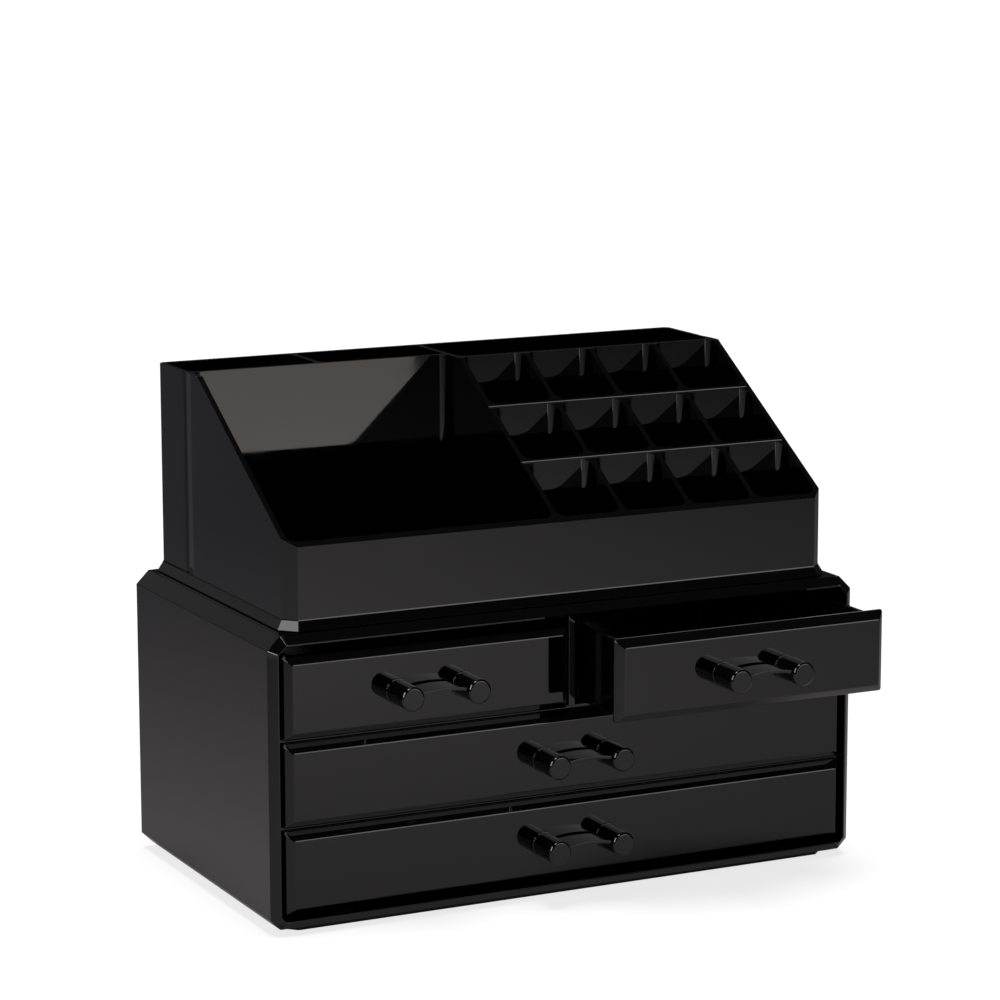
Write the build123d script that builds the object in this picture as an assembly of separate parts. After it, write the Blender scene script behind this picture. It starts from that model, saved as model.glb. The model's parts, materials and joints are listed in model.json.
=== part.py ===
"""Two-tier makeup organizer: a cabinet with four drawers and a tray that stands on it.

Millimetres, +Z up, +X to the right seen from the front, front towards -Y.
The origin is on the table, under the middle of the cabinet.
"""
import os
from build123d import *

# Cabinet sleeve
cabinet_width = 240.0
cabinet_depth = 132.5
sleeve_height = 107.3
sleeve_wall = 3.4
top_corner_cut = 5.0
bottom_corner_cut = 3.8
rim_land = 0.5
side_return = 2.0
back_thickness = 2.5

# Plinth under the sleeve
plinth_height = 2.0
plinth_side_inset = 8.0
plinth_front_inset = 5.5
plinth_corner_cut = 4.0

# Shelves and divider inside the cabinet
shelf_thickness = 2.0
divider_thickness = 2.6
divider_setback = 1.5
shelf_gap_to_front = 0.5

# Drawer fronts
front_height = 31.1
front_thickness = 4.0
front_bevel = 3.1
front_corner_radius = 1.0
front_face_radius = 0.5
front_proud = 1.5
front_row_gap = 0.9
front_side_gap = 1.4
front_divider_gap = 0.6
lowest_front_gap = 1.9

# Drawer boxes
box_height = 28.6
box_wall = 2.0
box_floor = 2.0
box_inner_radius = 3.0
box_overhang = 3.6
box_back_gap = 0.8
running_gap = 0.3
upper_right_pull = 29.0

# Guides and runners
guide_height = 6.0
guide_gap = 0.4
guide_front_setback = 6.0
runner_width = 9.0
runner_inset = 22.0

# Handles
post_diameter = 9.0
post_length = 13.8
post_spacing = 26.2
handle_drop = 1.3
post_end_chamfer = 0.7
collar_growth = 0.35
collar_thickness = 0.7
bridge_thickness = 1.2
bridge_depth = 10.5
bridge_rise = 1.9
bridge_end_gap = 1.6

# Handle screws
screw_diameter = 3.0
screw_bite = 9.0
screw_head_diameter = 5.6
screw_head_height = 1.9
screw_slot_width = 0.8
screw_slot_depth = 0.9
thread_gap = 0.05
screw_hole_gap = 0.2

# Tray outline and walls
tray_side_inset = 9.4
tray_depth = 122.9
tray_height = 80.3
tray_back_inset = 2.6
tray_front_wall_height = 30.2
tray_flat_top_depth = 40.9
tray_wall = 2.1
tray_front_wall = 2.5
tray_back_wall = 2.2
tray_inner_wall = 2.0
tray_front_corner_cut = 4.4
tray_back_corner_cut = 2.0
skirt_height = 4.1
skirt_flare = 2.0
skirt_lip_rise = 0.4
skirt_lip_undercut = 0.6
skirt_blend_height = 0.5
skirt_blend_growth = 0.12
tray_seat_recess = 1.5
tray_floor = 2.5
well_radius = 3.5

# Sink line down the tray's sides: distance behind the brush wells' front, and depth below the side
tray_side_sink = [(-6.5, 0.0), (-5.0, 0.09), (-0.4, 0.66), (0.4, 0.66), (2.0, 0.43), (2.8, 0.37)]

# Tray divisions
brush_well_depth = 25.85
rear_well_depth = 35.1
rack_left = -3.4
rack_columns = 4
rack_rows = 3
rack_row_rise = 12.3
rack_floor = 2.2

# Reach of the cutting shapes beyond what they cut
overshoot = 10.0

# Heights and depths that follow
sleeve_bottom = plinth_height
sleeve_top = sleeve_bottom + sleeve_height
inner_bottom = sleeve_bottom + sleeve_wall
inner_top = sleeve_top - sleeve_wall
inner_half_width = cabinet_width / 2 - sleeve_wall
cabinet_front = -cabinet_depth / 2
cabinet_back = cabinet_depth / 2
back_face = cabinet_back - back_thickness
front_face = cabinet_front - front_proud
front_back = front_face + front_thickness
shelf_front = front_back + shelf_gap_to_front
row_pitch = front_height + front_row_gap
row_bottoms = [inner_bottom + lowest_front_gap + row * row_pitch for row in range(3)]
wide_front_half = inner_half_width - front_side_gap
small_front_inner = divider_thickness / 2 + front_divider_gap
box_back = back_face - box_back_gap
guide_front = front_back + guide_front_setback


def block(x0, x1, y0, y1, z0, z1):
    """Box between two corners."""
    size = Box(x1 - x0, y1 - y0, z1 - z0, align=(Align.MIN, Align.MIN, Align.MIN))
    return Pos(x0, y0, z0) * size


def rounded_block(x0, x1, y0, y1, z0, z1, radius):
    """Box between two corners with round upright edges."""
    outline = RectangleRounded(x1 - x0, y1 - y0, radius)
    return Pos((x0 + x1) / 2, (y0 + y1) / 2, z0) * extrude(outline, z1 - z0)


def prism_along_y(points, y0, y1):
    """Solid of an XZ outline between two depths."""
    outline = make_face(Polyline(*[(x, y0, z) for x, z in points], close=True))
    return extrude(outline, y1 - y0, dir=(0, 1, 0))


def prism_along_x(points, x0, x1):
    """Solid of a YZ outline between two sides."""
    outline = make_face(Polyline(*[(x0, y, z) for y, z in points], close=True))
    return extrude(outline, x1 - x0, dir=(1, 0, 0))


def sleeve_outline(inset):
    """Cut-cornered section of the sleeve, moved inwards by the inset."""
    side = cabinet_width / 2 - inset
    low = sleeve_bottom + inset
    high = sleeve_top - inset
    slant = inset * (2 - 2 ** 0.5)
    top_cut = top_corner_cut - slant
    low_cut = bottom_corner_cut - slant
    right = [(side - low_cut, low), (side, low + low_cut), (side, high - top_cut), (side - top_cut, high)]
    left = [(-x, z) for x, z in reversed(right)]
    return right + left


def sleeve():
    """Hollow sleeve whose front rim is bevelled from the outside down to a narrow land."""
    bevel = sleeve_wall - rim_land
    shoulder = cabinet_front + bevel
    body = prism_along_y(sleeve_outline(0), shoulder, cabinet_back)
    rings = []
    for inset, depth in ((0, shoulder), (bevel, cabinet_front)):
        rings.append(make_face(Polyline(*[(x, depth, z) for x, z in sleeve_outline(inset)], close=True)))
    rim = loft(rings, ruled=True)
    bore = prism_along_y(sleeve_outline(sleeve_wall), cabinet_front - overshoot, cabinet_back + overshoot)
    return body + rim - bore


def cabinet_panels():
    """Sleeve cut into its four panels just inside the cut corners, and the inset back panel."""
    whole = sleeve()
    split_x = cabinet_width / 2 - max(top_corner_cut, bottom_corner_cut) - side_return
    middle = (sleeve_bottom + sleeve_top) / 2
    reach = cabinet_width
    centre = block(-split_x, split_x, -reach, reach, -reach, reach)
    left = whole & block(-reach, -split_x, -reach, reach, -reach, reach)
    right = whole & block(split_x, reach, -reach, reach, -reach, reach)
    top = (whole & centre) & block(-reach, reach, -reach, reach, middle, reach)
    base = (whole & centre) & block(-reach, reach, -reach, reach, -reach, middle)
    back = prism_along_y(sleeve_outline(sleeve_wall), back_face, cabinet_back)
    return {
        "cabinet_left_side": left,
        "cabinet_right_side": right,
        "cabinet_top_panel": top,
        "cabinet_base_panel": base,
        "cabinet_back_panel": back,
    }


def plinth():
    """Low plate with cut corners that carries the cabinet."""
    half_x = cabinet_width / 2 - plinth_side_inset
    half_y = cabinet_depth / 2 - plinth_front_inset
    cut = plinth_corner_cut
    right = [(half_x - cut, -half_y), (half_x, -half_y + cut), (half_x, half_y - cut), (half_x - cut, half_y)]
    left = [(-x, y) for x, y in reversed(right)]
    return extrude(make_face(Polyline(*(right + left), close=True)), plinth_height)


def shelf_height(row):
    """Underside of the shelf below a row of drawers."""
    return row_bottoms[row] - front_row_gap / 2 - shelf_thickness / 2


def bay_floor(row):
    """Surface that a row of drawers slides on."""
    return shelf_height(row) + shelf_thickness


def shelf(row):
    """Shelf between the sides, up to the back panel."""
    low = shelf_height(row)
    return block(-inner_half_width, inner_half_width, shelf_front, back_face, low, bay_floor(row))


def divider():
    """Upright between the two small drawers."""
    half = divider_thickness / 2
    return block(-half, half, cabinet_front + divider_setback, back_face, bay_floor(2), inner_top)


def guide_strip(x0, x1, low, high):
    """Strip that keeps a drawer box straight."""
    return block(x0, x1, guide_front, back_face, low, high)


def guides():
    """Strips on the sides for each row and on the divider for the small drawers, and the base runners."""
    box_half = wide_front_half - box_overhang
    outer = inner_half_width
    inner = box_half + guide_gap
    lows = [inner_bottom + bottom_corner_cut, bay_floor(1), bay_floor(2)]
    highs = [bay_floor(row) + guide_height for row in range(len(row_bottoms))]
    right = [guide_strip(inner, outer, low, high) for low, high in zip(lows, highs)]
    left = [guide_strip(-outer, -inner, low, high) for low, high in zip(lows, highs)]
    near = divider_thickness / 2
    far = small_front_inner + box_overhang - guide_gap
    centre = [guide_strip(x0, x1, lows[2], highs[2]) for x0, x1 in ((-far, -near), (near, far))]
    runner_x = box_half - runner_inset
    runners = [
        block(x - runner_width / 2, x + runner_width / 2, guide_front, back_face, inner_bottom, bay_floor(0))
        for x in (-runner_x, runner_x)
    ]
    return {
        "left_guide_strips": left,
        "right_guide_strips": right,
        "divider_guide_strips": centre,
        "base_runners": runners,
    }


def drawer_front(x0, x1, low):
    """Plate with a broad bevel round its face and two holes for the handle screws."""
    middle = (x0 + x1) / 2
    width = x1 - x0
    centre = Pos(middle, low + front_height / 2)
    rim = RectangleRounded(width, front_height, front_corner_radius)
    face = RectangleRounded(width - 2 * front_bevel, front_height - 2 * front_bevel, front_face_radius)
    shoulder = front_face + front_bevel
    edge = extrude(Plane.XZ.offset(-front_back) * centre * rim, front_back - shoulder, dir=(0, -1, 0))
    ends = [Plane.XZ.offset(-shoulder) * centre * rim, Plane.XZ.offset(-front_face) * centre * face]
    bevel = loft(ends, ruled=True)
    return edge + bevel - screw_holes(middle, low, front_face - overshoot, front_back + overshoot)


def handle_points(middle, low):
    """X and Z of the two handle posts on a drawer front."""
    height = low + front_height / 2 - handle_drop
    return [(middle - post_spacing / 2, height), (middle + post_spacing / 2, height)]


def rod(x, z, y0, y1, radius):
    """Round bar along Y."""
    return extrude(Plane.XZ.offset(-y1) * Pos(x, z) * Circle(radius), y1 - y0, dir=(0, -1, 0))


def screw_holes(middle, low, y0, y1):
    """Clearance holes for the two handle screws."""
    radius = screw_diameter / 2 + screw_hole_gap
    first, second = [rod(x, z, y0, y1, radius) for x, z in handle_points(middle, low)]
    return first + second


def drawer_box(x0, x1, low, bottom):
    """Open box behind a drawer front."""
    top = bottom + box_height
    left = x0 + box_overhang
    right = x1 - box_overhang
    body = block(left, right, front_back, box_back, bottom, top)
    inside = rounded_block(
        left + box_wall, right - box_wall, front_back + box_wall, box_back - box_wall,
        bottom + box_floor, top + overshoot, box_inner_radius,
    )
    holes = screw_holes((x0 + x1) / 2, low, front_back - overshoot, front_back + overshoot)
    return body - inside - holes


def handle(middle, low):
    """Two round posts with a thin arched bridge between them."""
    points = handle_points(middle, low)
    tip = front_face - post_length
    posts = []
    for x, z in points:
        post = rod(x, z, tip, front_face, post_diameter / 2)
        post = chamfer(post.faces().sort_by(Axis.Y)[0].edges(), post_end_chamfer)
        collar = rod(x, z, front_face - collar_thickness, front_face, post_diameter / 2 + collar_growth)
        pilot = rod(x, z, front_face - screw_bite, front_face + overshoot, screw_diameter / 2 + thread_gap)
        posts.append(post + collar - pilot)
    (x0, height), (x1, _) = points
    half = bridge_thickness / 2
    crown = height + bridge_rise
    under = ThreePointArc((x0, height - half), (middle, crown - half), (x1, height - half))
    over = ThreePointArc((x1, height + half), (middle, crown + half), (x0, height + half))
    ends = [Line((x1, height - half), (x1, height + half)), Line((x0, height + half), (x0, height - half))]
    start = tip + bridge_end_gap + bridge_depth
    outline = Plane.XZ.offset(-start) * make_face([under, ends[0], over, ends[1]])
    bridge = extrude(outline, bridge_depth, dir=(0, -1, 0))
    for x, z in points:
        bridge = bridge - rod(x, z, front_face - screw_bite, front_face, screw_diameter / 2 + thread_gap)
    return posts[0] + bridge + posts[1]


def screws(middle, low):
    """Two screws from inside the box into the handle posts."""
    seat = front_back + box_wall
    result = []
    for x, z in handle_points(middle, low):
        shank = rod(x, z, front_face - screw_bite, seat, screw_diameter / 2)
        head = rod(x, z, seat, seat + screw_head_height, screw_head_diameter / 2)
        slot_end = seat + screw_head_height
        slot = block(
            x - screw_head_diameter, x + screw_head_diameter, slot_end - screw_slot_depth, slot_end,
            z - screw_slot_width / 2, z + screw_slot_width / 2,
        )
        result.append(shank + head - slot)
    return result


def drawer(name, x0, x1, row, pull):
    """The pieces of one drawer, pulled out by a distance."""
    low = row_bottoms[row]
    middle = (x0 + x1) / 2
    out = Pos(0, -pull, 0)
    return {
        f"{name}_drawer_box": out * drawer_box(x0, x1, low, bay_floor(row) + running_gap),
        f"{name}_drawer_front": out * drawer_front(x0, x1, low),
        f"{name}_drawer_handle": out * handle(middle, low),
        f"{name}_drawer_screws": [out * screw for screw in screws(middle, low)],
    }


# Places in the tray, from its outline
tray_half = cabinet_width / 2 - tray_side_inset
tray_back = cabinet_back - tray_back_inset
tray_front = tray_back - tray_depth
tray_bottom = sleeve_top
tray_top = tray_bottom + tray_height
tray_inside_half = tray_half - tray_wall
tray_slope_end = tray_back - tray_flat_top_depth
tray_low_top = tray_bottom + tray_front_wall_height
tray_slope = (tray_height - tray_front_wall_height) / (tray_slope_end - tray_front)
well_back = tray_back - tray_back_wall
well_floor = tray_bottom + tray_seat_recess + tray_floor
rear_well_front = well_back - rear_well_depth
brush_well_front = well_back - brush_well_depth
bay_front = tray_front + tray_front_wall
rack_back = rear_well_front - tray_inner_wall
rack_right = tray_inside_half
rack_first = rack_left + tray_inner_wall
cell_width = (rack_right - rack_first - (rack_columns - 1) * tray_inner_wall) / rack_columns
cell_depth = (rack_back - bay_front - (rack_rows - 1) * tray_inner_wall) / rack_rows


def slope_height(y):
    """Height of the tray's sloping edge at a depth."""
    return tray_low_top + tray_slope * (y - tray_front)


def cell_column(column):
    """Left and right of a rack cell."""
    left = rack_first + column * (cell_width + tray_inner_wall)
    return left, left + cell_width


def cell_row(row):
    """Front and back of a rack cell."""
    front = bay_front + row * (cell_depth + tray_inner_wall)
    return front, front + cell_depth


def cell_floor(row):
    """Floor of a rack cell, higher in each row towards the back."""
    return well_floor + row * rack_row_rise


def tray_outline(growth, z):
    """Cut-cornered plan of the tray, moved outwards by the growth."""
    half = tray_half + growth
    front = tray_front - growth
    back = tray_back + growth
    slant = growth * (2 - 2 ** 0.5)
    near = tray_front_corner_cut + slant
    far = tray_back_corner_cut + slant
    right = [(half - near, front), (half, front + near), (half, back - far), (half - far, back)]
    left = [(-x, y) for x, y in reversed(right)]
    return make_face(Polyline(*[(x, y, z) for x, y in right + left], close=True))


def side_relief(side, bottom, top):
    """What a side of the tray lacks: the sink line, and the slight step behind it."""
    points = [(tray_half - depth, brush_well_front + behind) for behind, depth in tray_side_sink]
    beside = tray_half + overshoot
    behind = tray_back + overshoot
    points += [(points[-1][0], behind), (beside, behind), (beside, points[0][1])]
    outline = make_face(Polyline(*[(side * x, y, bottom) for x, y in points], close=True))
    return extrude(outline, top - bottom, dir=(0, 0, 1))


def tray():
    """One moulding: walls, sloping front, flared skirt, wells, bay and rack cells."""
    body = extrude(tray_outline(0, tray_bottom), tray_height)
    skirt_top = tray_bottom + skirt_height
    skirt_rings = [
        tray_outline(skirt_flare - skirt_lip_undercut, tray_bottom),
        tray_outline(skirt_flare, tray_bottom + skirt_lip_rise),
        tray_outline(skirt_blend_growth, skirt_top - skirt_blend_height),
        tray_outline(0, skirt_top),
    ]
    body = body + loft(skirt_rings, ruled=True)
    reach = cabinet_width
    ahead = tray_front - overshoot
    above = tray_top + overshoot
    slope = [(ahead, slope_height(ahead)), (tray_slope_end, tray_top)]
    wedge = slope + [(tray_slope_end, above), (ahead, above)]
    body = body - prism_along_x(wedge, -reach, reach)
    for side in (-1, 1):
        body = body - side_relief(side, skirt_top, above)
    for row in range(1, rack_rows):
        wall_back = cell_row(row)[0]
        wall_front = wall_back - tray_inner_wall
        flat_top = slope_height((wall_front + wall_back) / 2)
        body = body + block(rack_left, tray_inside_half, wall_front, wall_back, well_floor, flat_top)
    inside = tray_inside_half
    half_wall = tray_inner_wall / 2
    brush_middle = (rack_left - inside) / 2
    pockets = [
        (-inside, brush_middle - half_wall, brush_well_front, well_back, well_floor),
        (brush_middle + half_wall, rack_left, brush_well_front, well_back, well_floor),
        (rack_first, inside, rear_well_front, well_back, well_floor),
        (-inside, rack_left, bay_front, brush_well_front - tray_inner_wall, well_floor),
    ]
    for row in range(rack_rows):
        for column in range(rack_columns):
            pockets.append(cell_column(column) + cell_row(row) + (cell_floor(row),))
    for x0, x1, y0, y1, floor in pockets:
        body = body - rounded_block(x0, x1, y0, y1, floor, above, well_radius)
    return body - underside()


def underside():
    """Shallow recess under the whole tray, deeper under the raised rows of the rack."""
    half = tray_inside_half
    seat = rounded_block(
        -half, half, tray_front + tray_front_wall, tray_back - tray_back_wall,
        tray_bottom - overshoot, tray_bottom + tray_seat_recess, well_radius,
    )
    for row in range(1, rack_rows):
        y0, y1 = cell_row(row)
        seat = seat + block(rack_first, rack_right, y0, y1, tray_bottom, cell_floor(row) - rack_floor)
    return seat


def organizer():
    """Every piece by its name, a list where a name holds several like pieces."""
    pieces = {}
    pieces.update(cabinet_panels())
    pieces["base_plinth"] = plinth()
    pieces["lower_shelf"] = shelf(1)
    pieces["upper_shelf"] = shelf(2)
    pieces["centre_divider"] = divider()
    pieces.update(guides())
    pieces.update(drawer("upper_left", -wide_front_half, -small_front_inner, 2, 0))
    pieces.update(drawer("upper_right", small_front_inner, wide_front_half, 2, upper_right_pull))
    pieces.update(drawer("middle", -wide_front_half, wide_front_half, 1, 0))
    pieces.update(drawer("lower", -wide_front_half, wide_front_half, 0, 0))
    pieces["tray"] = tray()
    return pieces


os.makedirs("parts", exist_ok=True)
for node, shape in organizer().items():
    group = Compound(children=shape) if isinstance(shape, list) else shape
    export_step(group, f"parts/{node}.step")
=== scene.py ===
"""Polished black makeup organizer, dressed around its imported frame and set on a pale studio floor.

Every moulding is a copy of its solid with softened edges, so that the edges catch the light.
"""
import json
from math import cos, pi, radians, sin

import bmesh
import bpy
from bpy.props import FloatProperty, FloatVectorProperty, IntProperty, PointerProperty
from mathutils import Matrix, Vector


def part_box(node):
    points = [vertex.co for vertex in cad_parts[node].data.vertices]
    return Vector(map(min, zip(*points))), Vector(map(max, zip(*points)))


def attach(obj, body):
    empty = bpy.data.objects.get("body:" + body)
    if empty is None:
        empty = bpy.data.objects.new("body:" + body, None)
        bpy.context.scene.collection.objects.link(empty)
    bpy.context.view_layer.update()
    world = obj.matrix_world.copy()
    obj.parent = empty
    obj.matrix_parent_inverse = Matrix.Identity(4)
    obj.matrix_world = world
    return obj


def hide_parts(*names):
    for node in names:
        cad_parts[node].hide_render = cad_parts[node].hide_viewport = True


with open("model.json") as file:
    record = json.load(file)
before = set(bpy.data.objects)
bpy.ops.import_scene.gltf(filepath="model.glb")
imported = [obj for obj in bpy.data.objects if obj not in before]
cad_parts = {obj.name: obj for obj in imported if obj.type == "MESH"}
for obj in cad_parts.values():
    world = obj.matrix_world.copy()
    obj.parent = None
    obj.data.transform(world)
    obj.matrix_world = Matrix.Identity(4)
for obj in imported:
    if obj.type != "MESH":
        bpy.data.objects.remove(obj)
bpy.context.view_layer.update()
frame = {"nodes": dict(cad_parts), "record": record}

bl_info = {
    "name": "Makeup Organizer",
    "version": (1, 0, 0),
    "blender": (4, 5, 0),
    "location": "View3D > Sidebar > Organizer",
    "description": "Dresses the packed makeup organizer and sets its studio stage",
    "category": "Object",
}

MM = 0.001
BODIES = frame["record"]["behaviour"]["bodies"]
BODY_OF = {node: body for body, nodes in BODIES.items() for node in nodes}
DRAWERS = ("upper_left", "upper_right", "middle", "lower")

WELD_DISTANCE = 0.002 * MM
FLAT_ANGLE = radians(1)
SHARP_ANGLE = radians(30)
CREASE_ANGLE = radians(20)
SPLIT_DIGITS = 5
HOLE_SHARE = 0.8

PIGMENT_SCALE = 90.0
MARKS_SCALE = 28.0
MARKS_FROM = 0.45
MARKS_TO = 0.72
WAVE_SCALE = 22.0
WAVE_HEIGHT = 0.3 * MM
STEEL_PIGMENT_SCALE = 900.0
STEEL_MARKS_SCALE = 600.0
STEEL_CLEAN = 0.2
STEEL_MARKED = 0.38

IMAGE_SIZE = 1000
SENSOR_WIDTH = 36
OVERHEAD_PLACE = (0, 0, 3)
FLOOR_MIDDLE = (0, 0, 0)
LAMP_AIM = (0, 0, 0.12)
# Each softbox: name, the stage setting of its radiance, width and height, place
KEY_SOFTBOX = ("key_softbox", "key_brightness", (0.46, 0.46), (-1.182, -0.233, 1.069))
SOFTBOXES = (
    ("front_softbox", "front_brightness", (1.0, 1.1), (0.7, -1.4, 0.55)),
    ("rim_softbox", "rim_brightness", (0.3, 0.3), (0.24, 1.76, 1.05)),
    ("edge_softbox", "edge_brightness", (0.75, 0.75), (0.876, 1.1, 1.36)),
    ("low_softbox", "corner_brightness", (0.4, 0.9), (-1.253, -0.753, 0.75)),
    ("high_softbox", "corner_brightness", (0.36, 0.36), (-0.288, -0.565, 1.46)),
    ("top_panel", "top_brightness", (1.3, 1.3), (0, 0, 2.1)),
    ("back_screen", "back_brightness", (0.9, 1.0), (-0.5, 1.76, 0.9)),
)
BRIGHT_CARD = ("bright_card", "card_brightness", (0.134, 0.1), (0.269, -0.743, 0.05))
LEFT_CARD = ("left_card", "left_card_brightness", (0.16, 0.06), (-0.469, -0.209, 0.045))


class OrganizerEdges(bpy.types.PropertyGroup):
    """Edge softening of the mouldings."""

    panel: FloatProperty(
        name="Panel edges",
        description="Edge radius of the cabinet's panels and shelves",
        default=0.22 * MM,
        min=0,
        unit="LENGTH",
    )
    front: FloatProperty(
        name="Front edges",
        description="Edge radius of the drawer fronts",
        default=0.35 * MM,
        min=0,
        unit="LENGTH",
    )
    box: FloatProperty(
        name="Box edges",
        description="Edge radius of the drawer boxes",
        default=0.25 * MM,
        min=0,
        unit="LENGTH",
    )
    handle: FloatProperty(
        name="Handle edges",
        description="Edge radius of the handles",
        default=0.22 * MM,
        min=0,
        unit="LENGTH",
    )
    tray: FloatProperty(
        name="Tray edges",
        description="Edge radius of the tray's rims and corners",
        default=0.4 * MM,
        min=0,
        unit="LENGTH",
    )
    segments: IntProperty(
        name="Segments",
        description="Facets across a softened edge",
        default=2,
        min=1,
        max=6,
    )


class OrganizerFinish(bpy.types.PropertyGroup):
    """Colours and gloss of the mouldings."""

    pigment_dark: FloatVectorProperty(
        name="Dark pigment",
        description="Deepest colour of the black plastic",
        default=(0.0012, 0.0011, 0.0013),
        size=3,
        min=0,
        max=1,
        subtype="COLOR",
    )
    pigment_light: FloatVectorProperty(
        name="Light pigment",
        description="Palest colour of the black plastic",
        default=(0.0028, 0.0026, 0.0030),
        size=3,
        min=0,
        max=1,
        subtype="COLOR",
    )
    steel_dark: FloatVectorProperty(
        name="Dark steel",
        description="Colour of the screws in their scratches",
        default=(0.38, 0.38, 0.39),
        size=3,
        min=0,
        max=1,
        subtype="COLOR",
    )
    steel_light: FloatVectorProperty(
        name="Light steel",
        description="Colour of the screws' bright plating",
        default=(0.62, 0.62, 0.63),
        size=3,
        min=0,
        max=1,
        subtype="COLOR",
    )
    plastic_ior: FloatProperty(
        name="Plastic IOR",
        description="Index of refraction of the polished plastic",
        default=1.49,
        min=1,
        max=2,
    )


class OrganizerStage(bpy.types.PropertyGroup):
    """Floor, light and camera."""

    floor_colour: FloatVectorProperty(
        name="Floor colour",
        description="Colour of the pale floor",
        default=(0.3, 0.3, 0.3),
        size=3,
        min=0,
        max=1,
        subtype="COLOR",
    )
    floor_lift: FloatProperty(
        name="Floor lift",
        description="How much the floor is lifted towards white as a background",
        default=0.79,
        min=0,
        max=1,
    )
    floor_size: FloatProperty(
        name="Floor size",
        description="Side of the square floor",
        default=40.0,
        min=1,
        unit="LENGTH",
    )
    # Painted pool of light: in reflections the floor's colour is bright near the pool centre and
    # fades to dark at the edge, standing in for a softbox's fall-off.
    painted_pool_colour: FloatVectorProperty(
        name="Pool colour",
        description="Floor colour in reflections, in the middle of the pool of light",
        default=(0.785, 0.74, 0.745),
        size=3,
        min=0,
        max=1,
        subtype="COLOR",
    )
    painted_pool_edge: FloatVectorProperty(
        name="Pool edge",
        description="Floor colour in reflections, away from the pool of light",
        default=(0.092, 0.087, 0.094),
        size=3,
        min=0,
        max=1,
        subtype="COLOR",
    )
    # Painted glow: in reflections the floor emits the pool colour, a share that shadows don't darken.
    painted_pool_glow: FloatProperty(
        name="Pool glow",
        description="Share of the pool that shadows leave in reflections",
        default=0.36,
        min=0,
        max=1,
    )
    # Place and reach of the painted pool of light.
    pool_centre: FloatVectorProperty(
        name="Pool centre",
        description="Middle of the floor's pool of light",
        default=(-0.04, -0.58, 0.0),
        size=3,
        subtype="TRANSLATION",
        unit="LENGTH",
    )
    pool_reach: FloatVectorProperty(
        name="Pool reach",
        description="Distance at which the floor's pool of light has faded, across, along and up",
        default=(1.18, 1.4, 1.0),
        size=3,
        subtype="XYZ",
        unit="LENGTH",
    )
    overhead_strength: FloatProperty(
        name="Overhead strength",
        description="Irradiance of the soft overhead light",
        default=2.7,
        min=0,
    )
    overhead_angle: FloatProperty(
        name="Overhead angle",
        description="Apparent width of the soft overhead light",
        default=radians(28),
        min=0,
        subtype="ANGLE",
    )
    key_brightness: FloatProperty(
        name="Key brightness",
        description="Radiance of the round softbox above the left",
        default=4.4,
        min=0,
    )
    front_brightness: FloatProperty(
        name="Front brightness",
        description="Radiance of the tall softbox at the front right",
        default=2.8,
        min=0,
    )
    rim_brightness: FloatProperty(
        name="Rim brightness",
        description="Radiance of the softbox behind, which lines the upper edges of the sides",
        default=3.0,
        min=0,
    )
    edge_brightness: FloatProperty(
        name="Edge brightness",
        description="Radiance of the softbox above the back right, which lines the upper front edges",
        default=2.2,
        min=0,
    )
    corner_brightness: FloatProperty(
        name="Corner brightness",
        description="Radiance of the two softboxes at the front left, which catch the handles' rims",
        default=8.0,
        min=0,
    )
    top_brightness: FloatProperty(
        name="Top brightness",
        description="Radiance of the dim panel straight above",
        default=0.4,
        min=0,
    )
    back_brightness: FloatProperty(
        name="Back brightness",
        description="Radiance of the dim screen behind",
        default=0.14,
        min=0,
    )
    card_brightness: FloatProperty(
        name="Card brightness",
        description="Radiance of the low bright card at the front right",
        default=1.6,
        min=0,
    )
    left_card_brightness: FloatProperty(
        name="Left card brightness",
        description="Radiance of the low dim card at the front left",
        default=0.21,
        min=0,
    )
    card_colour: FloatVectorProperty(
        name="Card colour",
        description="Warm tint of the low bright card",
        default=(1.0, 0.92, 0.9),
        size=3,
        min=0,
        max=1,
        subtype="COLOR",
    )
    ceiling: FloatProperty(
        name="Ceiling",
        description="Brightness of the studio's dark surroundings",
        default=0.025,
        min=0,
    )
    yaw: FloatProperty(
        name="Yaw",
        description="Turn of the view from the organizer's front",
        default=radians(26.341),
        subtype="ANGLE",
    )
    pitch: FloatProperty(
        name="Pitch",
        description="Downward tilt of the view",
        default=radians(10.52),
        subtype="ANGLE",
    )
    roll: FloatProperty(
        name="Roll",
        description="Turn of the view about its own line",
        default=radians(-0.097),
        subtype="ANGLE",
    )
    focal_length: FloatProperty(
        name="Focal length",
        description="Focal length for a sensor 36 mm wide",
        default=127.393,
        min=1,
    )
    distance: FloatProperty(
        name="Distance",
        description="Distance of the camera from the aim point, along the view",
        default=1.35773,
        min=0.1,
        unit="LENGTH",
    )
    aim_height: FloatProperty(
        name="Aim height",
        description="Height of the aim point above the origin",
        default=0.06,
        unit="LENGTH",
    )
    aim_column: FloatProperty(
        name="Aim column",
        description="Image column of the aim point",
        default=493.901,
    )
    aim_row: FloatProperty(
        name="Aim row",
        description="Image row of the aim point",
        default=699.348,
    )


def new_material(name):
    """A material with an empty node tree."""
    material = bpy.data.materials.new(name)
    material.use_nodes = True
    material.node_tree.nodes.clear()
    return material


def add_node(tree, kind, **values):
    """A node with its inputs set by name and its properties by attribute."""
    node = tree.nodes.new(kind)
    for key, value in values.items():
        if key in node.inputs:
            node.inputs[key].default_value = value
        else:
            setattr(node, key, value)
    return node


def new_group(name, inputs, outputs):
    """A shader node group with named sockets, and its input and output nodes."""
    group = bpy.data.node_groups.new(name, "ShaderNodeTree")
    for socket, kind in inputs:
        group.interface.new_socket(name=socket, in_out="INPUT", socket_type=kind)
    for socket, kind in outputs:
        group.interface.new_socket(name=socket, in_out="OUTPUT", socket_type=kind)
    return group, group.nodes.new("NodeGroupInput"), group.nodes.new("NodeGroupOutput")


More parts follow.
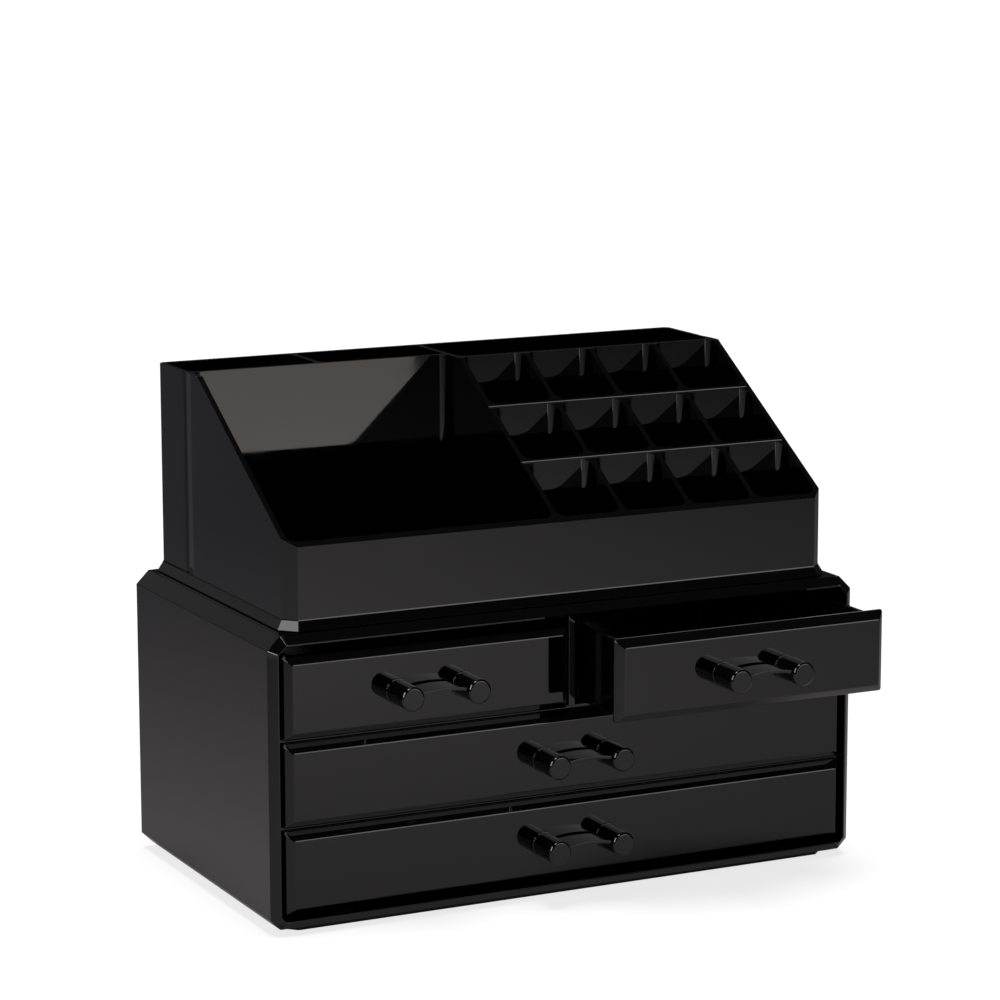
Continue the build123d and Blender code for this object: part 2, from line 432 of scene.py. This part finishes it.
def handling_marks_group():
    """Soft patches where polish has dulled a little, as a value between two limits."""
    group, given, result = new_group(
        "Handling Marks",
        [
            ("Vector", "NodeSocketVector"),
            ("Scale", "NodeSocketFloat"),
            ("Clean", "NodeSocketFloat"),
            ("Marked", "NodeSocketFloat"),
        ],
        [("Roughness", "NodeSocketFloat")],
    )
    noise = add_node(group, "ShaderNodeTexNoise", Detail=4.0, Roughness=0.6)
    spread = add_node(group, "ShaderNodeMapRange")
    spread.inputs["From Min"].default_value = MARKS_FROM
    spread.inputs["From Max"].default_value = MARKS_TO
    group.links.new(given.outputs["Vector"], noise.inputs["Vector"])
    group.links.new(given.outputs["Scale"], noise.inputs["Scale"])
    group.links.new(noise.outputs["Fac"], spread.inputs["Value"])
    group.links.new(given.outputs["Clean"], spread.inputs["To Min"])
    group.links.new(given.outputs["Marked"], spread.inputs["To Max"])
    group.links.new(spread.outputs["Result"], result.inputs["Roughness"])
    return group


def pigment_group():
    """Fine cloudiness between two colours."""
    group, given, result = new_group(
        "Pigment",
        [
            ("Vector", "NodeSocketVector"),
            ("Scale", "NodeSocketFloat"),
            ("Dark", "NodeSocketColor"),
            ("Light", "NodeSocketColor"),
        ],
        [("Color", "NodeSocketColor")],
    )
    noise = add_node(group, "ShaderNodeTexNoise", Detail=3.0, Roughness=0.5)
    blend = add_node(group, "ShaderNodeMix", data_type="RGBA")
    colour_in = [socket for socket in blend.inputs if socket.type == "RGBA"]
    colour_out = next(socket for socket in blend.outputs if socket.type == "RGBA")
    group.links.new(given.outputs["Vector"], noise.inputs["Vector"])
    group.links.new(given.outputs["Scale"], noise.inputs["Scale"])
    group.links.new(noise.outputs["Fac"], blend.inputs["Factor"])
    group.links.new(given.outputs["Dark"], colour_in[0])
    group.links.new(given.outputs["Light"], colour_in[1])
    group.links.new(colour_out, result.inputs["Color"])
    return group


def moulding_wave_group():
    """Very shallow unevenness of a moulded surface, as a height."""
    group, given, result = new_group(
        "Moulding Wave",
        [("Vector", "NodeSocketVector"), ("Scale", "NodeSocketFloat")],
        [("Height", "NodeSocketFloat")],
    )
    noise = add_node(group, "ShaderNodeTexNoise", Detail=1.0, Roughness=0.4)
    group.links.new(given.outputs["Vector"], noise.inputs["Vector"])
    group.links.new(given.outputs["Scale"], noise.inputs["Scale"])
    group.links.new(noise.outputs["Fac"], result.inputs["Height"])
    return group


def shared_group(name, build):
    """A node group, built the first time it is asked for."""
    return bpy.data.node_groups.get(name) or build()


def place_group(tree, name, build, vector, **values):
    """A group's node in a material, fed with its coordinates and values."""
    node = tree.nodes.new("ShaderNodeGroup")
    node.node_tree = shared_group(name, build)
    tree.links.new(vector, node.inputs["Vector"])
    for key, value in values.items():
        node.inputs[key].default_value = value
    return node


def polished_plastic(name, finish, clean, marked, wave):
    """Black gloss plastic with faint handling marks and moulding waves."""
    material = bpy.data.materials.get(name)
    if material:
        return material
    material = new_material(name)
    tree = material.node_tree
    place = tree.nodes.new("ShaderNodeTexCoord").outputs["Object"]
    dark = (*finish.pigment_dark, 1)
    light = (*finish.pigment_light, 1)
    pigment = place_group(
        tree, "Pigment", pigment_group, place, Scale=PIGMENT_SCALE, Dark=dark, Light=light
    )
    marks = place_group(
        tree,
        "Handling Marks",
        handling_marks_group,
        place,
        Scale=MARKS_SCALE,
        Clean=clean,
        Marked=marked,
    )
    waves = place_group(tree, "Moulding Wave", moulding_wave_group, place, Scale=WAVE_SCALE)
    bump = add_node(tree, "ShaderNodeBump", Strength=wave, Distance=WAVE_HEIGHT)
    shader = add_node(tree, "ShaderNodeBsdfPrincipled", IOR=finish.plastic_ior)
    output = tree.nodes.new("ShaderNodeOutputMaterial")
    tree.links.new(pigment.outputs["Color"], shader.inputs["Base Color"])
    tree.links.new(marks.outputs["Roughness"], shader.inputs["Roughness"])
    tree.links.new(waves.outputs["Height"], bump.inputs["Height"])
    tree.links.new(bump.outputs["Normal"], shader.inputs["Normal"])
    tree.links.new(shader.outputs["BSDF"], output.inputs["Surface"])
    return material


def plated_steel(finish):
    """Bright plating of the screws, with fine cloudiness and wear."""
    material = new_material("Plated screw steel")
    tree = material.node_tree
    place = tree.nodes.new("ShaderNodeTexCoord").outputs["Object"]
    dark = (*finish.steel_dark, 1)
    light = (*finish.steel_light, 1)
    pigment = place_group(
        tree, "Pigment", pigment_group, place, Scale=STEEL_PIGMENT_SCALE, Dark=dark, Light=light
    )
    marks = place_group(
        tree,
        "Handling Marks",
        handling_marks_group,
        place,
        Scale=STEEL_MARKS_SCALE,
        Clean=STEEL_CLEAN,
        Marked=STEEL_MARKED,
    )
    shader = add_node(tree, "ShaderNodeBsdfPrincipled", Metallic=1.0)
    output = tree.nodes.new("ShaderNodeOutputMaterial")
    tree.links.new(pigment.outputs["Color"], shader.inputs["Base Color"])
    tree.links.new(marks.outputs["Roughness"], shader.inputs["Roughness"])
    tree.links.new(shader.outputs["BSDF"], output.inputs["Surface"])
    return material


def panel_plastic(finish):
    """Finish of the cabinet and the drawer fronts."""
    return polished_plastic("Polished black panel", finish, clean=0.03, marked=0.07, wave=0.02)


def box_plastic(finish):
    """Finish of the drawer boxes and the inner fittings."""
    return polished_plastic("Black drawer box", finish, clean=0.08, marked=0.16, wave=0.04)


def handle_plastic(finish):
    """Finish of the handles."""
    return polished_plastic("Polished black handle", finish, clean=0.04, marked=0.08, wave=0.0)


def tray_plastic(finish):
    """Finish of the tray moulding."""
    return polished_plastic("Polished black tray", finish, clean=0.03, marked=0.08, wave=0.03)


def merged_solid(node):
    """A node's mesh with its loose triangles joined."""
    if node not in frame["nodes"]:
        raise RuntimeError(f"the frame has no node {node}")
    shape = bmesh.new()
    shape.from_mesh(frame["nodes"][node].data)
    bmesh.ops.remove_doubles(shape, verts=shape.verts, dist=WELD_DISTANCE)
    return shape


def clean_flats(shape, splits):
    """Joins flat triangles into whole faces, parted along the splits.

    Because of the splits, no face goes round a hole.
    """
    for point, normal in splits:
        whole = shape.verts[:] + shape.edges[:] + shape.faces[:]
        cut = bmesh.ops.bisect_plane(shape, geom=whole, plane_co=point, plane_no=normal)
        for part in cut["geom_cut"]:
            if isinstance(part, bmesh.types.BMEdge):
                part.seam = True
    bmesh.ops.dissolve_limit(
        shape, angle_limit=FLAT_ANGLE, verts=shape.verts, edges=shape.edges, delimit={"SEAM"}
    )


def soften_edges(shape, radius, segments, keep_sharp):
    """Rounds the outward sharp edges and marks the inward and the kept ones as creases."""
    shape.normal_update()
    soft = []
    for edge in shape.edges:
        sharp = len(edge.link_faces) == 2 and edge.calc_face_angle() > SHARP_ANGLE
        if sharp and edge.is_convex and not keep_sharp(edge):
            soft.append(edge)
    bmesh.ops.bevel(
        shape,
        geom=soft,
        offset=radius,
        offset_type="OFFSET",
        segments=segments,
        profile=0.5,
        affect="EDGES",
        clamp_overlap=True,
        material=-1,
    )
    shape.normal_update()
    for edge in shape.edges:
        creased = len(edge.link_faces) == 2 and edge.calc_face_angle() > CREASE_ANGLE
        if creased and (not edge.is_convex or keep_sharp(edge)):
            edge.smooth = False


def nothing(edge):
    """No edge is kept sharp."""
    return False


def softened_piece(node, radius, segments, material, splits=(), keep_sharp=nothing):
    """A copy of a node with softened edges, in the node's place."""
    shape = merged_solid(node)
    clean_flats(shape, splits)
    soften_edges(shape, radius, segments, keep_sharp)
    for face in shape.faces:
        face.smooth = True
    mesh = bpy.data.meshes.new(f"polished_{node}")
    shape.to_mesh(mesh)
    shape.free()
    mesh.materials.append(material)
    piece = bpy.data.objects.new(mesh.name, mesh)
    bpy.context.scene.collection.objects.link(piece)
    shading = piece.modifiers.new("Even shading", "WEIGHTED_NORMAL")
    shading.weight = 100
    shading.keep_sharp = True
    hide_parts(node)
    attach(piece, BODY_OF[node])
    return piece


def middle_splits(node):
    """Planes through the middle of a node, across its width and its depth."""
    low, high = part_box(node)
    middle = (Vector(low) + Vector(high)) / 2
    return [(middle, Vector((1, 0, 0))), (middle, Vector((0, 1, 0)))]


def screw_axes(drawer):
    """X and Z of a drawer's two handle screws, and the radius of their heads."""
    low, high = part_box(f"{drawer}_drawer_screws")
    head = (high[2] - low[2]) / 2
    height = (high[2] + low[2]) / 2
    return [(low[0] + head, height), (high[0] - head, height)], head


def near_screws(drawer):
    """Test for edges that belong to a drawer's screw holes."""
    axes, head = screw_axes(drawer)

    def test(edge):
        middle = (edge.verts[0].co + edge.verts[1].co) / 2
        reach = HOLE_SHARE * head
        return any((middle.x - x) ** 2 + (middle.z - z) ** 2 < reach**2 for x, z in axes)

    return test


class ORGANIZER_OT_dress_cabinet(bpy.types.Operator):
    """Softens the edges of the cabinet's panels, plinth, shelves, divider and guides"""

    bl_idname = "organizer.dress_cabinet"
    bl_label = "Dress Cabinet"

    def execute(self, context):
        edges = context.scene.organizer_edges
        finish = context.scene.organizer_finish
        seam = abs(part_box("cabinet_top_panel")[0][0])

        def on_seam(edge):
            return all(abs(abs(corner.co.x) - seam) < WELD_DISTANCE for corner in edge.verts)

        for node in BODIES["cabinet"]:
            inner = "guide" in node or "runners" in node or "shelf" in node
            material = box_plastic(finish) if inner else panel_plastic(finish)
            softened_piece(node, edges.panel, edges.segments, material, keep_sharp=on_seam)
        return {"FINISHED"}


class ORGANIZER_OT_dress_drawers(bpy.types.Operator):
    """Softens the edges of the drawer boxes and their bevelled fronts"""

    bl_idname = "organizer.dress_drawers"
    bl_label = "Dress Drawers"

    def execute(self, context):
        edges = context.scene.organizer_edges
        finish = context.scene.organizer_finish
        for drawer in DRAWERS:
            holes = near_screws(drawer)
            box = f"{drawer}_drawer_box"
            splits = middle_splits(box)
            softened_piece(box, edges.box, edges.segments, box_plastic(finish), splits, holes)
            front = f"{drawer}_drawer_front"
            softened_piece(front, edges.front, edges.segments, panel_plastic(finish), (), holes)
        return {"FINISHED"}


class ORGANIZER_OT_dress_handles(bpy.types.Operator):
    """Softens the edges of the handles"""

    bl_idname = "organizer.dress_handles"
    bl_label = "Dress Handles"

    def execute(self, context):
        edges = context.scene.organizer_edges
        finish = context.scene.organizer_finish
        for drawer in DRAWERS:
            node = f"{drawer}_drawer_handle"
            softened_piece(
                node, edges.handle, edges.segments, handle_plastic(finish), (), near_screws(drawer)
            )
        return {"FINISHED"}


class ORGANIZER_OT_dress_screws(bpy.types.Operator):
    """Gives the handle screws their plated finish"""

    bl_idname = "organizer.dress_screws"
    bl_label = "Dress Screws"

    def execute(self, context):
        steel = plated_steel(context.scene.organizer_finish)
        for drawer in DRAWERS:
            screws = frame["nodes"][f"{drawer}_drawer_screws"]
            screws.data.materials.clear()
            screws.data.materials.append(steel)
        return {"FINISHED"}


class ORGANIZER_OT_dress_tray(bpy.types.Operator):
    """Softens the rims and corners of the tray"""

    bl_idname = "organizer.dress_tray"
    bl_label = "Dress Tray"

    def execute(self, context):
        edges = context.scene.organizer_edges
        material = tray_plastic(context.scene.organizer_finish)
        softened_piece("tray", edges.tray, edges.segments, material, self.pocket_splits())
        return {"FINISHED"}

    def pocket_splits(self):
        """Planes through the middle of every pocket of the tray, across and along."""
        across = set()
        along = set()
        for opening in frame["record"]["physics"]["openings"]:
            low, high = opening["box_m"]
            if low[2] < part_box("tray")[0][2]:
                continue
            across.add(round((low[0] + high[0]) / 2, SPLIT_DIGITS))
            along.add(round((low[1] + high[1]) / 2, SPLIT_DIGITS))
        splits = [(Vector((x, 0, 0)), Vector((1, 0, 0))) for x in sorted(across)]
        return splits + [(Vector((0, y, 0)), Vector((0, 1, 0))) for y in sorted(along)]


class ORGANIZER_OT_build_stage(bpy.types.Operator):
    """Lays the floor, sets the lights and the studio surroundings, and places the camera"""

    bl_idname = "organizer.build_stage"
    bl_label = "Build Stage"

    def execute(self, context):
        stage = context.scene.organizer_stage
        self.floor(context, stage)
        self.surroundings(context, stage)
        self.lights(context, stage)
        self.camera(context, stage)
        context.scene.view_settings.view_transform = "Standard"
        return {"FINISHED"}

    def floor(self, context, stage):
        """A wide pale floor that keeps the organizer's shadow."""
        shape = bmesh.new()
        bmesh.ops.create_grid(shape, x_segments=1, y_segments=1, size=stage.floor_size / 2)
        mesh = bpy.data.meshes.new("floor")
        shape.to_mesh(mesh)
        shape.free()
        floor = bpy.data.objects.new("floor", mesh)
        context.scene.collection.objects.link(floor)
        mesh.materials.append(self.floor_material(stage))

    def floor_material(self, stage):
        """Pale matt floor, lifted to white as a background; in reflections it shows a painted pool of
        light that fades to dark, with a painted glow.
        """
        material = new_material("Pale floor")
        tree = material.node_tree
        rays = tree.nodes.new("ShaderNodeLightPath")
        seen = add_node(tree, "ShaderNodeMath", operation="ADD")
        lift = add_node(tree, "ShaderNodeMath", operation="MULTIPLY")
        lift.inputs[1].default_value = stage.floor_lift
        white = tree.nodes.new("ShaderNodeEmission")
        place = tree.nodes.new("ShaderNodeTexCoord")
        area = add_node(tree, "ShaderNodeMapping", vector_type="TEXTURE")
        area.inputs["Location"].default_value = stage.pool_centre
        area.inputs["Scale"].default_value = stage.pool_reach
        # Painted pool of light: the floor's reflected colour fades from the pool colour at the centre
        # to the edge colour.
        fade = add_node(tree, "ShaderNodeTexGradient", gradient_type="QUADRATIC_SPHERE")
        edge = (*stage.painted_pool_edge, 1)
        pool = add_node(tree, "ShaderNodeMixRGB", Color1=edge, Color2=(*stage.painted_pool_colour, 1))
        # Painted glow: for glossy rays the floor emits the pool colour, which shadows don't darken.
        glow = add_node(tree, "ShaderNodeMath", operation="MULTIPLY")
        glow.inputs[1].default_value = stage.painted_pool_glow
        painted_glow_emission = tree.nodes.new("ShaderNodeEmission")
        choice = add_node(tree, "ShaderNodeMixRGB", Color1=(*stage.floor_colour, 1))
        matt = tree.nodes.new("ShaderNodeBsdfDiffuse")
        lifted = tree.nodes.new("ShaderNodeAddShader")
        whole = tree.nodes.new("ShaderNodeAddShader")
        output = tree.nodes.new("ShaderNodeOutputMaterial")
        tree.links.new(rays.outputs["Is Camera Ray"], seen.inputs[0])
        tree.links.new(rays.outputs["Is Transmission Ray"], seen.inputs[1])
        tree.links.new(seen.outputs[0], lift.inputs[0])
        tree.links.new(lift.outputs[0], white.inputs["Strength"])
        tree.links.new(place.outputs["Object"], area.inputs["Vector"])
        tree.links.new(area.outputs["Vector"], fade.inputs["Vector"])
        tree.links.new(fade.outputs["Fac"], pool.inputs["Fac"])
        tree.links.new(rays.outputs["Is Glossy Ray"], glow.inputs[0])
        tree.links.new(pool.outputs["Color"], painted_glow_emission.inputs["Color"])
        tree.links.new(glow.outputs[0], painted_glow_emission.inputs["Strength"])
        # Glossy rays see the painted pool colour, lit by the lamps, in place of the floor colour.
        tree.links.new(rays.outputs["Is Glossy Ray"], choice.inputs["Fac"])
        tree.links.new(pool.outputs["Color"], choice.inputs["Color2"])
        tree.links.new(choice.outputs["Color"], matt.inputs["Color"])
        tree.links.new(white.outputs[0], lifted.inputs[0])
        tree.links.new(matt.outputs[0], lifted.inputs[1])
        tree.links.new(lifted.outputs[0], whole.inputs[0])
        tree.links.new(painted_glow_emission.outputs[0], whole.inputs[1])
        tree.links.new(whole.outputs[0], output.inputs["Surface"])
        material.cycles.emission_sampling = "NONE"
        return material

    def surroundings(self, context, stage):
        """A dark studio that is white as a background."""
        world = bpy.data.worlds.new("Studio")
        context.scene.world = world
        world.use_nodes = True
        tree = world.node_tree
        tree.nodes.clear()
        rays = tree.nodes.new("ShaderNodeLightPath")
        brightest = add_node(tree, "ShaderNodeMath", operation="MAXIMUM")
        brightest.inputs[0].default_value = stage.ceiling
        background = tree.nodes.new("ShaderNodeBackground")
        background.inputs["Color"].default_value = (1, 1, 1, 1)
        output = tree.nodes.new("ShaderNodeOutputWorld")
        tree.links.new(rays.outputs["Is Camera Ray"], brightest.inputs[1])
        tree.links.new(brightest.outputs[0], background.inputs["Strength"])
        tree.links.new(background.outputs[0], output.inputs["Surface"])

    def lights(self, context, stage):
        """Soft overhead light, softboxes and dim panels round the organizer, and two low cards."""
        overhead = bpy.data.lights.new("overhead", "SUN")
        overhead.energy = stage.overhead_strength
        overhead.angle = stage.overhead_angle
        self.hang(context, overhead, OVERHEAD_PLACE, FLOOR_MIDDLE).visible_glossy = False
        self.softbox(context, stage, KEY_SOFTBOX, "DISK").visible_diffuse = True
        for softbox in SOFTBOXES:
            self.softbox(context, stage, softbox)
        self.softbox(context, stage, BRIGHT_CARD).data.color = stage.card_colour
        self.softbox(context, stage, LEFT_CARD)

    def softbox(self, context, stage, softbox, shape="RECTANGLE"):
        """A lamp of a given radiance, turned to the organizer and seen only in reflections."""
        name, setting, size, place = softbox
        light = bpy.data.lights.new(name, "AREA")
        light.shape = shape
        light.size, light.size_y = size
        area = size[0] * size[1] * (pi / 4 if shape == "DISK" else 1)
        light.energy = getattr(stage, setting) * pi * area
        lamp = self.hang(context, light, place, LAMP_AIM)
        lamp.visible_diffuse = False
        return lamp

    def hang(self, context, light, place, aim):
        """A lamp at a place, turned to an aim point and unseen by the camera itself."""
        lamp = bpy.data.objects.new(light.name, light)
        lamp.location = place
        lamp.rotation_euler = (Vector(aim) - Vector(place)).to_track_quat("-Z", "Y").to_euler()
        lamp.visible_camera = False
        context.scene.collection.objects.link(lamp)
        return lamp

    def camera(self, context, stage):
        """The view of the organizer."""
        data = bpy.data.cameras.new("camera")
        data.sensor_width = SENSOR_WIDTH
        data.lens = stage.focal_length
        data.clip_end = 2 * stage.floor_size
        forward = Vector(
            (sin(stage.yaw) * cos(stage.pitch), cos(stage.yaw) * cos(stage.pitch), -sin(stage.pitch))
        )
        level = Vector((cos(stage.yaw), -sin(stage.yaw), 0))
        upright = level.cross(forward)
        right = cos(stage.roll) * level + sin(stage.roll) * upright
        up = cos(stage.roll) * upright - sin(stage.roll) * level
        focal_pixels = stage.focal_length / SENSOR_WIDTH * IMAGE_SIZE
        aside = (stage.aim_column - IMAGE_SIZE / 2) / focal_pixels
        above = (IMAGE_SIZE / 2 - stage.aim_row) / focal_pixels
        aim = Vector((0, 0, stage.aim_height))
        place = aim - stage.distance * (forward + aside * right + above * up)
        turn = Matrix((right, up, -forward)).transposed().to_4x4()
        camera = bpy.data.objects.new("camera", data)
        camera.matrix_world = Matrix.Translation(place) @ turn
        context.scene.collection.objects.link(camera)
        context.scene.camera = camera


class ORGANIZER_PT_panel(bpy.types.Panel):
    """Organizer tools"""

    bl_idname = "ORGANIZER_PT_panel"
    bl_label = "Makeup Organizer"
    bl_space_type = "VIEW_3D"
    bl_region_type = "UI"
    bl_category = "Organizer"

    def draw(self, context):
        layout = self.layout
        for operator in OPERATORS:
            layout.operator(operator.bl_idname)
        for group in ("organizer_edges", "organizer_finish", "organizer_stage"):
            values = getattr(context.scene, group)
            column = layout.column(align=True)
            for name in values.__annotations__:
                column.prop(values, name)


OPERATORS = (
    ORGANIZER_OT_dress_cabinet,
    ORGANIZER_OT_dress_drawers,
    ORGANIZER_OT_dress_handles,
    ORGANIZER_OT_dress_screws,
    ORGANIZER_OT_dress_tray,
    ORGANIZER_OT_build_stage,
)
CLASSES = (OrganizerEdges, OrganizerFinish, OrganizerStage, *OPERATORS, ORGANIZER_PT_panel)


def register():
    """Adds the classes and the scene's settings."""
    for each in CLASSES:
        bpy.utils.register_class(each)
    bpy.types.Scene.organizer_edges = PointerProperty(type=OrganizerEdges)
    bpy.types.Scene.organizer_finish = PointerProperty(type=OrganizerFinish)
    bpy.types.Scene.organizer_stage = PointerProperty(type=OrganizerStage)


def unregister():
    """Removes the scene's settings and the classes."""
    del bpy.types.Scene.organizer_stage
    del bpy.types.Scene.organizer_finish
    del bpy.types.Scene.organizer_edges
    for each in reversed(CLASSES):
        bpy.utils.unregister_class(each)


def main():
    """Dresses the organizer and builds the stage."""
    register()
    bpy.ops.organizer.dress_cabinet()
    bpy.ops.organizer.dress_drawers()
    bpy.ops.organizer.dress_handles()
    bpy.ops.organizer.dress_screws()
    bpy.ops.organizer.dress_tray()
    bpy.ops.organizer.build_stage()
    bpy.context.view_layer.update()


if __name__ == "__main__":
    main()
